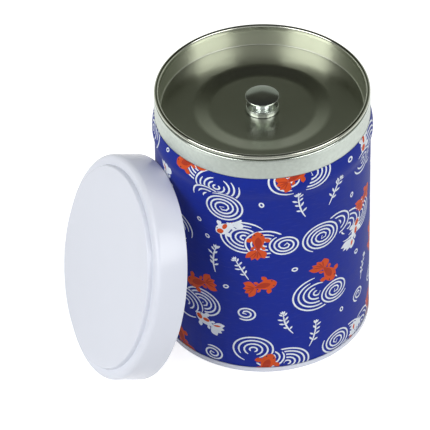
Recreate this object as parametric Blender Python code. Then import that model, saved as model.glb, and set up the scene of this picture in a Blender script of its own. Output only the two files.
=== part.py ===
"""A paper-covered steel canister: a drawn inner lid with a knob closes its mouth, and its stepped outer lid,
taken off, stands on its edge and leans on the wall. Metres, +Z up, the floor at z = 0."""

import math

import bmesh
import bpy

MM = 0.001

# Sheet and fits
STEEL_GAUGE = 0.3 * MM
PAPER_THICKNESS = 0.2 * MM
SEAT_GAP = 0.3 * MM  # between pieces that touch on the real tin
MOUTH_FIT = 0.3 * MM  # between the inner lid's wall and the curled mouth
LID_FIT = 0.3 * MM  # between the outer lid's hem and the bead that carries it

# Body: a tube with a bead and a curled mouth. Radii are of the steel's outer face.
WALL_RADIUS = 41.0 * MM
BODY_TOP = 105.5 * MM
NECK_HEIGHT = 8.6 * MM  # bare steel above the paper
NECK_FLARE = 0.25 * MM  # neck's radius over the wall's
BEAD_RISE = 0.85 * MM  # bead's radius over the wall's
BEAD_SPAN = 5.8 * MM  # from the bead's crest to where it ends, above and below
MOUTH_CURL = 1.2 * MM  # outer diameter of the curl

# Base
LIP_HEIGHT = 2.3 * MM
PANEL_RECESS = 1.9 * MM
FOOT_CORNER = 0.45 * MM  # bend radius, at mid-sheet

# Inner lid
RIM_ROLL = 1.8 * MM  # outer diameter of the rolled rim
PAN_DEPTH = 8.7 * MM  # top of the rim to the floor's upper face
PAN_DRAFT = 0.5 * MM  # how far the wall leans in from rim to floor
PAN_CORNER = 1.3 * MM
LEDGE_WIDTH = 12.9 * MM  # flat ring between the wall and the sunk disc
SLOPE_WIDTH = 6.0 * MM
SUNK_DEPTH = 0.85 * MM

# Knob and what fastens it
KNOB_HEIGHT = 6.4 * MM
KNOB_RADIUS = 6.45 * MM
KNOB_WAIST_RADIUS = 2.9 * MM
KNOB_HEAD = 1.3 * MM  # thickness of the head
KNOB_BASE = 1.0 * MM  # thickness of the base flange
KNOB_BEVEL = 0.35 * MM
KNOB_BORE_CAP = 2.4 * MM  # solid metal above the bore
SHANK_RADIUS = 1.4 * MM
WASHER_RADIUS = 4.5 * MM
WASHER_THICKNESS = 0.6 * MM
RIVET_HEAD_RADIUS = 2.8 * MM
RIVET_HEAD_HEIGHT = 1.1 * MM

# Outer lid and how it leans
LID_DEPTH = 12.85 * MM  # mouth to the shoulder ring's outer face
HEM_ROLL = 0.8 * MM  # outer diameter of the hem, turned inwards
LID_SHOULDER = 2.0 * MM
SHOULDER_RING = 2.2 * MM  # flat ring between shoulder and raised face
FACE_RISE = 1.8 * MM
FACE_SLOPE = 0.5 * MM  # how far the raised face's wall leans in
FACE_CORNER = 0.6 * MM
LEAN_ANGLE = math.radians(16.9)
LEAN_SIDE_SHIFT = 7.3 * MM  # the lid's middle is off the line through the tin's axis

# Fineness
SEGMENTS = 48
KNOB_SEGMENTS = 32
BEND_STEPS = 3
ROLL_STEPS = 6
BEAD_STEPS = 4
COVE_STEPS = 6
CONTACT_STEPS = 720
WELD = 1e-7
SMOOTH_ANGLE = math.radians(40)

# Rolls, as the mid-sheet radius of their section and the turn they make
CURL_MID = (MOUTH_CURL - STEEL_GAUGE) / 2
RIM_MID = (RIM_ROLL - STEEL_GAUGE) / 2
HEM_MID = (HEM_ROLL - STEEL_GAUGE) / 2
CURL_TURN = math.radians(250)

# Heights and radii that follow
neck_radius = WALL_RADIUS + NECK_FLARE
paper_top = BODY_TOP - NECK_HEIGHT
paper_bottom = LIP_HEIGHT + SEAT_GAP
bead_crest = paper_top - BEAD_SPAN
tube_bottom = STEEL_GAUGE + SEAT_GAP
paper_offset = SEAT_GAP + PAPER_THICKNESS
mouth_radius = neck_radius - MOUTH_CURL
pan_wall_mid = mouth_radius - MOUTH_FIT - STEEL_GAUGE / 2
rim_top = BODY_TOP + SEAT_GAP + RIM_ROLL
ledge_mid = rim_top - PAN_DEPTH - STEEL_GAUGE / 2
sunk_mid = ledge_mid - SUNK_DEPTH
pan_floor_radius = pan_wall_mid - PAN_DRAFT
shank_hole = SHANK_RADIUS + SEAT_GAP
lid_radius = WALL_RADIUS + BEAD_RISE + paper_offset + LID_FIT + HEM_ROLL
lid_reach_radius = lid_radius - HEM_ROLL / 2  # of the hem's own centre circle


def smooth_step(share):
    """0 to 1 along half a cosine wave."""
    return (1 - math.cos(math.pi * share)) / 2


def wall_outer_radius(height):
    """The tube's outer radius: straight wall, bead, then the neck."""
    share = max(0.0, 1 - abs(height - bead_crest) / BEAD_SPAN)
    foot = WALL_RADIUS if height < bead_crest else neck_radius
    return foot + (WALL_RADIUS + BEAD_RISE - foot) * smooth_step(share)


def bead_heights():
    low = bead_crest - BEAD_SPAN
    return [low + 2 * BEAD_SPAN * step / (2 * BEAD_STEPS) for step in range(2 * BEAD_STEPS + 1)]


def arc(centre, radius, start, turn, steps):
    """Points (r, z) on an arc, both ends included; angles run from +r towards +z."""
    points = []
    for step in range(steps + 1):
        angle = start + turn * step / steps
        points.append((centre[0] + radius * math.cos(angle), centre[1] + radius * math.sin(angle)))
    return points


def direction(a, b):
    length = math.dist(a, b)
    return ((b[0] - a[0]) / length, (b[1] - a[1]) / length)


def offset_line(path, distance):
    """The path moved sideways by a distance, to its left, with mitred corners."""
    moved = []
    for index, point in enumerate(path):
        ahead = direction(path[max(index - 1, 0)], path[max(index, 1)])
        after = direction(path[min(index, len(path) - 2)], path[min(index + 1, len(path) - 1)])
        normal = (-(ahead[1] + after[1]), ahead[0] + after[0])
        scale = 2 / (normal[0] ** 2 + normal[1] ** 2)
        moved.append((point[0] + distance * scale * normal[0], point[1] + distance * scale * normal[1]))
    return moved


def sheet_outline(path, thickness):
    """The closed section of a sheet whose middle follows the path."""
    return offset_line(path, thickness / 2) + offset_line(path, -thickness / 2)[::-1]


def finish(name, color, roughness, metallic):
    material = bpy.data.materials.new(name)
    material.use_nodes = True
    surface = material.node_tree.nodes["Principled BSDF"]
    surface.inputs["Base Color"].default_value = (*color, 1.0)
    surface.inputs["Roughness"].default_value = roughness
    surface.inputs["Metallic"].default_value = metallic
    material.diffuse_color = (*color, 1.0)
    return material


def turned_piece(name, outline, material, parent, segments=SEGMENTS):
    """A closed section of (r, z) points, turned round the local Z axis."""
    bm = bmesh.new()
    verts = [bm.verts.new((radius, 0.0, height)) for radius, height in outline]
    edges = []
    for index, vert in enumerate(verts):
        following = verts[(index + 1) % len(verts)]
        if vert.co.x > WELD or following.co.x > WELD:
            edges.append(bm.edges.new((vert, following)))
    bmesh.ops.spin(
        bm, geom=verts + edges, cent=(0, 0, 0), axis=(0, 0, 1), angle=math.tau, steps=segments, use_merge=True
    )
    bmesh.ops.remove_doubles(bm, verts=bm.verts, dist=WELD)
    bmesh.ops.recalc_face_normals(bm, faces=bm.faces)
    mesh = bpy.data.meshes.new(name)
    bm.to_mesh(mesh)
    bm.free()
    mesh.shade_smooth()
    mesh.set_sharp_from_angle(angle=SMOOTH_ANGLE)
    mesh.materials.append(material)
    piece = bpy.data.objects.new(name, mesh)
    bpy.context.scene.collection.objects.link(piece)
    piece.parent = parent
    return piece


def stand(name, location, parent=None):
    """An empty that carries the pieces standing on it."""
    empty = bpy.data.objects.new(name, None)
    bpy.context.scene.collection.objects.link(empty)
    empty.location = location
    empty.parent = parent
    return empty


def body_path():
    """From the tube's lower edge up the wall and round the curl, which turns inwards."""
    half = STEEL_GAUGE / 2
    path = [(WALL_RADIUS - half, tube_bottom)]
    path += [(wall_outer_radius(height) - half, height) for height in bead_heights()]
    curl_centre = (neck_radius - half - CURL_MID, BODY_TOP - half - CURL_MID)
    return path + arc(curl_centre, CURL_MID, 0.0, CURL_TURN, ROLL_STEPS)


def paper_path():
    side = SEAT_GAP + PAPER_THICKNESS / 2
    path = [(WALL_RADIUS + side, paper_bottom)]
    return path + [(wall_outer_radius(height) + side, height) for height in bead_heights()]


def bottom_path():
    """From the panel's middle outwards: down the inner leg, along the foot and up the lip round the tube."""
    half = STEEL_GAUGE / 2
    panel = half + PANEL_RECESS
    inner_leg = WALL_RADIUS - STEEL_GAUGE - SEAT_GAP - half
    outer_leg = WALL_RADIUS + SEAT_GAP + half
    low = half + FOOT_CORNER
    panel_bend = (inner_leg - FOOT_CORNER, panel - FOOT_CORNER)
    path = [(0.0, panel)]
    path += arc(panel_bend, FOOT_CORNER, math.pi / 2, -math.pi / 2, BEND_STEPS)
    path += arc((inner_leg + FOOT_CORNER, low), FOOT_CORNER, math.pi, math.pi / 2, BEND_STEPS)
    path += arc((outer_leg - FOOT_CORNER, low), FOOT_CORNER, -math.pi / 2, math.pi / 2, BEND_STEPS)
    return path + [(outer_leg, LIP_HEIGHT)]


def pan_path():
    """From the knob's hole across the sunk disc and the ledge, up the wall and round the rim, outwards."""
    ledge_end = pan_floor_radius - LEDGE_WIDTH
    path = [(shank_hole, sunk_mid), (ledge_end - SLOPE_WIDTH, sunk_mid), (ledge_end, ledge_mid)]
    corner = (pan_floor_radius - PAN_CORNER, ledge_mid + PAN_CORNER)
    path += arc(corner, PAN_CORNER, -math.pi / 2, math.pi / 2, BEND_STEPS)
    rim_centre = (pan_wall_mid + RIM_MID, rim_top - STEEL_GAUGE / 2 - RIM_MID)
    return path + arc(rim_centre, RIM_MID, math.pi, -CURL_TURN, ROLL_STEPS)


def lid_path():
    """From the raised face's middle outwards, down the skirt and round the hem; the mouth is at z = 0."""
    half = STEEL_GAUGE / 2
    ring = LID_DEPTH - half
    face = ring + FACE_RISE
    wall_foot = lid_radius - LID_SHOULDER - SHOULDER_RING
    face_edge = wall_foot - FACE_SLOPE - FACE_CORNER
    skirt = lid_radius - half
    shoulder = (lid_radius - LID_SHOULDER, LID_DEPTH - LID_SHOULDER)
    path = [(0.0, face)]
    path += arc((face_edge, face - FACE_CORNER), FACE_CORNER, math.pi / 2, -math.pi / 2, BEND_STEPS)
    path += [(wall_foot, ring)]
    path += arc(shoulder, LID_SHOULDER - half, math.pi / 2, -math.pi / 2, BEND_STEPS)
    return path + arc((skirt - HEM_MID, half + HEM_MID), HEM_MID, 0.0, -CURL_TURN, ROLL_STEPS)


def knob_outline():
    """Half the spool's section: head, hollow waist, base flange and the bore from below."""
    half_cove = (KNOB_HEIGHT - KNOB_HEAD - KNOB_BASE) / 2
    cove_middle = KNOB_BASE + half_cove
    flat_radius = KNOB_RADIUS - KNOB_BEVEL
    cove_depth = flat_radius - KNOB_WAIST_RADIUS
    outline = [(0.0, KNOB_HEIGHT), (flat_radius, KNOB_HEIGHT), (KNOB_RADIUS, KNOB_HEIGHT - KNOB_BEVEL)]
    outline += [(KNOB_RADIUS, KNOB_HEIGHT - KNOB_HEAD + KNOB_BEVEL)]
    for step in range(COVE_STEPS + 1):
        angle = math.pi * step / COVE_STEPS
        radius = KNOB_WAIST_RADIUS + cove_depth * (1 - math.sin(angle))
        outline.append((radius, cove_middle + half_cove * math.cos(angle)))
    outline += [(KNOB_RADIUS, KNOB_BASE - KNOB_BEVEL), (KNOB_RADIUS, 0.0), (shank_hole, 0.0)]
    bore_top = KNOB_HEIGHT - KNOB_BORE_CAP
    return outline + [(shank_hole, bore_top), (0.0, bore_top)]


def rivet_outline(shank_top, seat):
    """Shank up to its top, and the domed head hanging from its seat."""
    outline = [(0.0, shank_top), (SHANK_RADIUS, shank_top), (SHANK_RADIUS, seat)]
    for step in range(BEND_STEPS + 1):
        angle = math.pi / 2 * step / BEND_STEPS
        outline.append((RIVET_HEAD_RADIUS * math.cos(angle), seat - RIVET_HEAD_HEIGHT * math.sin(angle)))
    return outline


def washer_outline(top):
    bottom = top - WASHER_THICKNESS
    return [(shank_hole, top), (WASHER_RADIUS, top), (WASHER_RADIUS, bottom), (shank_hole, bottom)]


def lid_centre_distance():
    """Level distance from the tin's axis to the hem's centre circle, when the hem touches the paper."""
    touch_radius = WALL_RADIUS + paper_offset + SEAT_GAP + HEM_ROLL / 2
    distances = []
    for step in range(CONTACT_STEPS):
        angle = math.pi * step / CONTACT_STEPS
        sideways = LEAN_SIDE_SHIFT + lid_reach_radius * math.cos(angle)
        if abs(sideways) < touch_radius:
            nearness = lid_reach_radius * math.sin(angle) * math.sin(LEAN_ANGLE)
            distances.append(nearness + math.sqrt(touch_radius**2 - sideways**2))
    return max(distances)


def lid_place():
    """The mouth's centre: how far out from the tin's axis, and how high over the floor."""
    back = HEM_ROLL / 2
    outward = lid_centre_distance() - back * math.cos(LEAN_ANGLE)
    height = lid_reach_radius * math.cos(LEAN_ANGLE) + back * (1 - math.sin(LEAN_ANGLE))
    return outward, height


def set_extents(lid_outline):
    """Lowest and highest X and Y of the whole set, counted from the tin's axis."""
    outward, _ = lid_place()
    tin_radius = WALL_RADIUS + BEAD_RISE + paper_offset
    reach = max(r * math.sin(LEAN_ANGLE) + z * math.cos(LEAN_ANGLE) for r, z in lid_outline)
    low_y = min(-tin_radius, -LEAN_SIDE_SHIFT - lid_radius)
    high_y = max(tin_radius, -LEAN_SIDE_SHIFT + lid_radius)
    return -outward - reach, tin_radius, low_y, high_y


def build_tin(axis, steel, white, paper):
    turned_piece("body_shell", sheet_outline(body_path(), STEEL_GAUGE), steel, axis)
    turned_piece("paper_wrap", sheet_outline(paper_path(), PAPER_THICKNESS), paper, axis)
    turned_piece("bottom_end", sheet_outline(bottom_path(), STEEL_GAUGE), white, axis)


def build_inner_lid(axis, pan_steel, polished, zinc):
    turned_piece("inner_lid_pan", sheet_outline(pan_path(), STEEL_GAUGE), pan_steel, axis)
    knob_seat = sunk_mid + STEEL_GAUGE / 2 + SEAT_GAP
    knob = turned_piece("knob", knob_outline(), polished, axis, KNOB_SEGMENTS)
    knob.location.z = knob_seat
    washer_top = sunk_mid - STEEL_GAUGE / 2 - SEAT_GAP
    turned_piece("rivet_washer", washer_outline(washer_top), zinc, axis, KNOB_SEGMENTS)
    shank_top = knob_seat + KNOB_HEIGHT - KNOB_BORE_CAP - SEAT_GAP
    rivet_seat = washer_top - WASHER_THICKNESS - SEAT_GAP
    turned_piece("knob_rivet", rivet_outline(shank_top, rivet_seat), zinc, axis, KNOB_SEGMENTS)


def build_outer_lid(axis, outline, white):
    outward, height = lid_place()
    lid = turned_piece("outer_lid", outline, white, axis)
    lid.location = (-outward, -LEAN_SIDE_SHIFT, height)
    lid.rotation_euler = (0.0, LEAN_ANGLE - math.pi / 2, 0.0)


def main():
    for obj in list(bpy.data.objects):
        bpy.data.objects.remove(obj, do_unlink=True)
    lid_outline = sheet_outline(lid_path(), STEEL_GAUGE)
    low_x, high_x, low_y, high_y = set_extents(lid_outline)
    tin_axis = stand("tin_axis", (-(low_x + high_x) / 2, -(low_y + high_y) / 2, 0.0))
    inner_lid_axis = stand("inner_lid_axis", (0.0, 0.0, 0.0), tin_axis)
    white = finish("white enamel", (0.82, 0.83, 0.90), 0.32, 0.0)
    build_tin(
        tin_axis,
        finish("satin tinplate", (0.62, 0.64, 0.61), 0.38, 1.0),
        white,
        finish("printed paper", (0.03, 0.05, 0.33), 0.75, 0.0),
    )
    build_inner_lid(
        inner_lid_axis,
        finish("bright tinplate", (0.52, 0.53, 0.47), 0.24, 1.0),
        finish("polished chrome", (0.80, 0.81, 0.80), 0.06, 1.0),
        finish("zinc plate", (0.55, 0.56, 0.58), 0.35, 1.0),
    )
    build_outer_lid(tin_axis, lid_outline, white)


main()
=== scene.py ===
# %% [markdown]
# # Dressing a paper-covered canister
# The canister is a rolled steel tube with printed paper glued round it. A drawn pan with a knob closes its
# mouth, and its white outer lid leans on its side. The fixed model already holds every piece at its real
# size, so this lesson only opens it, reads sizes from it and gives each piece a finer surface and a finish.

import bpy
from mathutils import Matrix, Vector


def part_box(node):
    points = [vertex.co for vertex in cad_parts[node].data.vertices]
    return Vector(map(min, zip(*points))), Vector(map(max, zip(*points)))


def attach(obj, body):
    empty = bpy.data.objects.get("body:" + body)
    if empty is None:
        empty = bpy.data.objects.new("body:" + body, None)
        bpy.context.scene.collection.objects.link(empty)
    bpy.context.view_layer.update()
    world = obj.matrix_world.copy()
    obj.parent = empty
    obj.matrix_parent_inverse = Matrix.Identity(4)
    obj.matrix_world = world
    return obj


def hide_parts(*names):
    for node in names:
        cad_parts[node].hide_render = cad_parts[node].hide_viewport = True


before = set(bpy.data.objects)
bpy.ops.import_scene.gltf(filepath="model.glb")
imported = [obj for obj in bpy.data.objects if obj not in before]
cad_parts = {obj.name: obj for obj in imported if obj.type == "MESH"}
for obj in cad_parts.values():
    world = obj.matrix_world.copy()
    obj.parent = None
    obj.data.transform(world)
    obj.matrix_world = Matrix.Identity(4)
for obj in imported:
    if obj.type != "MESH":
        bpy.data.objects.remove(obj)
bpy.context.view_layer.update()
print("pieces in the fixed model:", sorted(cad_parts))

# %% The modules that the steps need
import math
import random

import bpy
import numpy as np
from mathutils import Matrix, Vector
from mathutils.geometry import delaunay_2d_cdt

# %% [markdown]
# ## Sizes
# The whole set is round, so a radius and a height place nearly everything. The big ones are read from the
# fixed model's boxes. The small ones, such as the sheet's gauge and the rolls at its edges, are too fine for
# a box to show, so they are written here once, as real sizes.

# %% Sizes read from the fixed model
MM = 0.001
_, paper_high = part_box("paper_wrap")
tube_low, tube_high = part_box("body_shell")
base_low, base_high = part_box("bottom_end")
_, pan_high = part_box("inner_lid_pan")
knob_low, knob_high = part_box("knob")
lid_low, lid_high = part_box("outer_lid")

tin_axis = ((tube_low.x + tube_high.x) / 2, (tube_low.y + tube_high.y) / 2)
bead_radius = (tube_high.y - tube_low.y) / 2
knob_radius = (knob_high.y - knob_low.y) / 2
lid_radius = (lid_high.y - lid_low.y) / 2
print(f"tin {2 * bead_radius / MM:.1f} mm across, {pan_high.z / MM:.1f} mm high")

# %% Sizes of the sheet, its rolls and its bends
GAUGE = 0.3 * MM
SEAT_GAP = 0.3 * MM
BEAD_RISE = 0.85 * MM
NECK_FLARE = 0.25 * MM
BEAD_SPAN = 5.8 * MM
MOUTH_CURL = 1.2 * MM
RIM_ROLL = 1.8 * MM
HEM_ROLL = 0.8 * MM
ROLL_TURN = math.radians(250)
PAPER_OUTSIDE = 0.5 * MM  # from the steel's outer face to the paper's
PAPER_THICKNESS = 0.15 * MM
PAPER_FOOT_GAP = 0.05 * MM  # the printed sleeve starts right above the base's lip

SIDES = 192
ROLL_STEPS = 20
BEND_STEPS = 8

half_gauge = GAUGE / 2
wall_radius = bead_radius - BEAD_RISE
neck_radius = wall_radius + NECK_FLARE
bead_crest = paper_high.z - BEAD_SPAN
paper_foot = base_high.z + PAPER_FOOT_GAP
print(f"wall {2 * wall_radius / MM:.1f} mm across, bead's crest at {bead_crest / MM:.1f} mm")

# %% [markdown]
# ## Camera
# The photograph was taken with a long lens from about 1.6 m, 40 degrees above the table and 20 degrees round
# from the front. A long lens keeps the tin's sides nearly parallel. The camera is built from its three
# directions, because they say plainly where it points and how little it rolls.

# %% Set the camera
CAMERA_AIM = Vector((0.75, 10.49, 45.67)) * MM
CAMERA_DISTANCE = 1.6
CAMERA_AZIMUTH = math.radians(-20.0)
CAMERA_ELEVATION = math.radians(39.8)
CAMERA_ROLL = math.radians(-1.08)
SENSOR_WIDTH = 36.0
IMAGE_WIDTH = 430
FOCAL_PIXELS = 4106.8


def direction(azimuth, elevation):
    """A unit vector. Azimuth 0 is the front, and it grows to the right."""
    level = math.cos(elevation)
    return Vector((math.sin(azimuth) * level, -math.cos(azimuth) * level, math.sin(elevation)))


back = direction(CAMERA_AZIMUTH, CAMERA_ELEVATION)
level_right = Vector((0, 0, 1)).cross(back).normalized()
level_up = back.cross(level_right)
right = level_right * math.cos(CAMERA_ROLL) + level_up * math.sin(CAMERA_ROLL)
up = back.cross(right)

bpy.ops.object.camera_add(location=CAMERA_AIM + back * CAMERA_DISTANCE)
camera = bpy.context.object
camera.rotation_euler = Matrix((right, up, back)).transposed().to_euler()
camera.data.sensor_width = SENSOR_WIDTH
camera.data.lens = SENSOR_WIDTH * FOCAL_PIXELS / IMAGE_WIDTH
camera.data.clip_start = 0.05
bpy.context.scene.camera = camera
print(f"lens {camera.data.lens:.0f} mm, {CAMERA_DISTANCE} m away")

# %% [markdown]
# ## Floor, world and lamps
# The set stands on a white sweep. Bright metal looks like what it reflects, so the room matters as much as
# the lamps. Behind the set the room is white at the height of the sweep and turns dark above it. On the
# camera's side it is dimmer below and brightest half way up. Straight overhead it lightens a little. Two soft
# boxes stand well out to the left and right. The floor adds plain white for the camera and for gloss, so
# faint shadows fade out and the near ones stay.

# %% Helpers for node trees
def set_values(node, **values):
    """Sets a node's own settings. A value whose name is a socket's goes to that socket."""
    for name, value in values.items():
        socket = name.replace("_", " ")
        if socket in node.inputs:
            node.inputs[socket].default_value = value
        else:
            setattr(node, name, value)


def add_node(tree, kind, label=None, **values):
    """Adds a node and sets its values."""
    node = tree.nodes.new(kind)
    if label:
        node.label = label
    set_values(node, **values)
    return node


def wire(tree, *pairs):
    """Links nodes, given as pairs of an output and the input that it feeds."""
    for output, fed in pairs:
        tree.links.new(output, fed)


def ramp_stops(ramp, stops):
    """Gives a colour ramp its stops, as (position, grey or colour)."""
    elements = ramp.color_ramp.elements
    while len(elements) < len(stops):
        elements.new(0.5)
    for element, (position, color) in zip(elements, stops):
        element.position = position
        element.color = (*color, 1.0) if isinstance(color, tuple) else (color, color, color, 1.0)


# %% The world: one ramp by height for each side of the room
OLIVE = (1.0, 1.0, 0.40)
JADE = (0.92, 1.0, 0.84)
DARK_FROM = 0.60  # a height in the room, as the sine of its angle above level


def shade(color, level):
    return tuple(level * c for c in color)


FAR_SIDE = [
    (0.0, 1.0), (0.10, 0.92), (0.24, 0.50), (0.38, shade(JADE, 0.34)), (0.555, shade(JADE, 0.26)),
    (DARK_FROM, shade(OLIVE, 0.024)), (0.83, shade(OLIVE, 0.003)), (0.92, 0.02), (1.0, 0.16),
]
NEAR_SIDE = [
    (0.0, 0.25), (0.40, 0.32), (0.53, 1.0), (0.70, 1.0), (0.80, 0.16), (0.92, 0.02), (1.0, 0.16),
]
SIDE_BLEND = 0.30
TO_CAMERA = direction(CAMERA_AZIMUTH, 0.0)

world = bpy.data.worlds.new("studio room")
world.use_nodes = True
bpy.context.scene.world = world
room = world.node_tree
heading = add_node(room, "ShaderNodeTexCoord")
split = add_node(room, "ShaderNodeSeparateXYZ")
room.links.new(heading.outputs["Generated"], split.inputs[0])
towards = add_node(room, "ShaderNodeVectorMath", operation="DOT_PRODUCT")
towards.inputs[1].default_value = TO_CAMERA
room.links.new(heading.outputs["Generated"], towards.inputs[0])
side_share = add_node(
    room, "ShaderNodeMapRange", interpolation_type="SMOOTHSTEP", From_Min=-SIDE_BLEND, From_Max=SIDE_BLEND
)
room.links.new(towards.outputs["Value"], side_share.inputs["Value"])
both_sides = add_node(room, "ShaderNodeMix", data_type="RGBA")
room.links.new(side_share.outputs["Result"], both_sides.inputs[0])
for socket, stops in ((6, FAR_SIDE), (7, NEAR_SIDE)):
    by_height = add_node(room, "ShaderNodeValToRGB")
    ramp_stops(by_height, stops)
    room.links.new(split.outputs["Z"], by_height.inputs["Fac"])
    room.links.new(by_height.outputs["Color"], both_sides.inputs[socket])
room.links.new(both_sides.outputs[2], room.nodes["Background"].inputs["Color"])
print("world: dark above", round(math.degrees(math.asin(DARK_FROM))), "degrees on the far side")

# %% The lamps
LAMP_DISTANCE = 1.1
LAMPS = [  # name, azimuth, elevation, width, height, power
    ("soft_box_left", -75, 41, 0.88, 0.58, 6.0),
    ("soft_box_right", 38, 40, 0.76, 0.46, 4.1),
]

for name, azimuth, elevation, width, height, power in LAMPS:
    away = direction(math.radians(azimuth), math.radians(elevation))
    bpy.ops.object.light_add(type="AREA", location=CAMERA_AIM + away * LAMP_DISTANCE)
    lamp = bpy.context.object
    lamp.name = lamp.data.name = name
    lamp.rotation_euler = away.to_track_quat("Z", "Y").to_euler()
    lamp.data.shape = "RECTANGLE"
    lamp.data.size, lamp.data.size_y = width, height
    lamp.data.energy = power
    print(name, "at", [round(x, 2) for x in lamp.location])

# %% The floor
FLOOR_SIZE = 12.0
FLOOR_WHITE = 0.88
WHITE_FOR_CAMERA = 0.66
WHITE_FOR_GLOSS = 0.50
SWEEP_MIDDLE = 0.090  # metres towards the camera, where the plain white for gloss starts to fade
SWEEP_END = 0.165

bpy.ops.object.select_all(action="DESELECT")
bpy.ops.mesh.primitive_plane_add(size=FLOOR_SIZE)
floor = bpy.context.object
floor.name = "floor"
sweep = bpy.data.materials.new("white sweep")
sweep.use_nodes = True
tree = sweep.node_tree
tree.nodes.remove(tree.nodes["Principled BSDF"])
matt = add_node(tree, "ShaderNodeBsdfDiffuse", Color=(FLOOR_WHITE, FLOOR_WHITE, FLOOR_WHITE, 1))
seen = add_node(tree, "ShaderNodeLightPath")
for_camera = add_node(tree, "ShaderNodeMath", operation="MULTIPLY")
for_camera.inputs[1].default_value = WHITE_FOR_CAMERA
gloss = add_node(tree, "ShaderNodeMath", operation="MAXIMUM")
for_gloss = add_node(tree, "ShaderNodeMath", operation="MULTIPLY_ADD")
place = add_node(tree, "ShaderNodeTexCoord")
nearer = add_node(tree, "ShaderNodeVectorMath", operation="DOT_PRODUCT")
nearer.inputs[1].default_value = TO_CAMERA
fading = add_node(
    tree, "ShaderNodeMapRange", interpolation_type="SMOOTHSTEP",
    From_Min=SWEEP_MIDDLE, From_Max=SWEEP_END, To_Min=WHITE_FOR_GLOSS, To_Max=0.0,
)
plain = add_node(tree, "ShaderNodeEmission")
total = add_node(tree, "ShaderNodeAddShader")
wire(
    tree,
    (seen.outputs["Is Camera Ray"], for_camera.inputs[0]),
    (seen.outputs["Is Glossy Ray"], gloss.inputs[0]),
    (seen.outputs["Is Transmission Ray"], gloss.inputs[1]),
    (place.outputs["Object"], nearer.inputs[0]),
    (nearer.outputs["Value"], fading.inputs["Value"]),
    (gloss.outputs[0], for_gloss.inputs[0]),
    (fading.outputs["Result"], for_gloss.inputs[1]),
    (for_camera.outputs[0], for_gloss.inputs[2]),
    (for_gloss.outputs[0], plain.inputs["Strength"]),
    (matt.outputs[0], total.inputs[0]),
    (plain.outputs[0], total.inputs[1]),
    (total.outputs[0], tree.nodes["Material Output"].inputs["Surface"]),
)
floor.data.materials.append(sweep)
print("floor", FLOOR_SIZE, "m across")

# %% [markdown]
# ## Metal finishes
# Tinplate is steel that was rolled, tinned and then spun or drawn, so its marks run in rings round the axis.
# Rings need only two numbers: the distance from the axis and the height. A noise over those two gives fine
# lines that never smear, and it drives both a little bump and a little roughness. Object coordinates are
# used, centred on the tin's axis by a Mapping node, so the rings sit still from every side. On the pan the
# rings also steer the shine: what it reflects blurs more across them than along them.

# %% Helpers for finishes
def new_finish(name, color, roughness, metallic):
    """Starts a finish: the material, its node tree and its surface shader."""
    material = bpy.data.materials.new(name)
    material.use_nodes = True
    surface = material.node_tree.nodes["Principled BSDF"]
    set_values(surface, Base_Color=(*color, 1.0), Roughness=roughness, Metallic=metallic)
    return material, material.node_tree, surface


def centred_place(tree):
    """Object coordinates, counted from the tin's axis."""
    place = add_node(tree, "ShaderNodeTexCoord")
    moved = add_node(tree, "ShaderNodeMapping", Location=(-tin_axis[0], -tin_axis[1], 0.0))
    tree.links.new(place.outputs["Object"], moved.inputs["Vector"])
    return moved.outputs["Vector"]


def ring_place(tree, fineness):
    """A vector of (distance from the axis, 0, height), times the fineness."""
    split = add_node(tree, "ShaderNodeSeparateXYZ")
    tree.links.new(centred_place(tree), split.inputs[0])
    flat = add_node(tree, "ShaderNodeCombineXYZ")
    distance = add_node(tree, "ShaderNodeVectorMath", operation="LENGTH")
    ring = add_node(tree, "ShaderNodeCombineXYZ")
    finer = add_node(tree, "ShaderNodeVectorMath", operation="SCALE", Scale=fineness)
    wire(
        tree,
        (split.outputs["X"], flat.inputs["X"]),
        (split.outputs["Y"], flat.inputs["Y"]),
        (flat.outputs[0], distance.inputs[0]),
        (distance.outputs["Value"], ring.inputs["X"]),
        (split.outputs["Z"], ring.inputs["Z"]),
        (ring.outputs[0], finer.inputs[0]),
    )
    return finer.outputs["Vector"]


def between(tree, value, low, high):
    """Turns a 0 to 1 value into one from low to high."""
    spread = add_node(tree, "ShaderNodeMapRange", To_Min=low, To_Max=high)
    tree.links.new(value, spread.inputs["Value"])
    return spread.outputs["Result"]


def tint(tree, value, dark, light):
    """A colour between two, by a 0 to 1 value."""
    mixed = add_node(tree, "ShaderNodeMix", data_type="RGBA")
    mixed.inputs[6].default_value = (*dark, 1.0)
    mixed.inputs[7].default_value = (*light, 1.0)
    tree.links.new(value, mixed.inputs[0])
    return mixed.outputs[2]


# %% A finish for spun or drawn metal
BURNISH = 0.4  # a rolled edge's roughness, as a share of the sheet's
ACROSS_RINGS = 0.25  # a quarter turn, so the blur runs towards and away from the axis


def burnish(tree, roughness, height):
    """Smooths a roughness above a height, where the rolling tool has rubbed the sheet bright."""
    split = add_node(tree, "ShaderNodeSeparateXYZ")
    tree.links.new(centred_place(tree), split.inputs[0])
    rubbed = add_node(
        tree, "ShaderNodeMapRange", From_Min=height - GAUGE, From_Max=height, To_Min=1.0, To_Max=BURNISH
    )
    tree.links.new(split.outputs["Z"], rubbed.inputs["Value"])
    smoothed = add_node(tree, "ShaderNodeMath", operation="MULTIPLY")
    tree.links.new(roughness, smoothed.inputs[0])
    tree.links.new(rubbed.outputs["Result"], smoothed.inputs[1])
    return smoothed.outputs[0]


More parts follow.
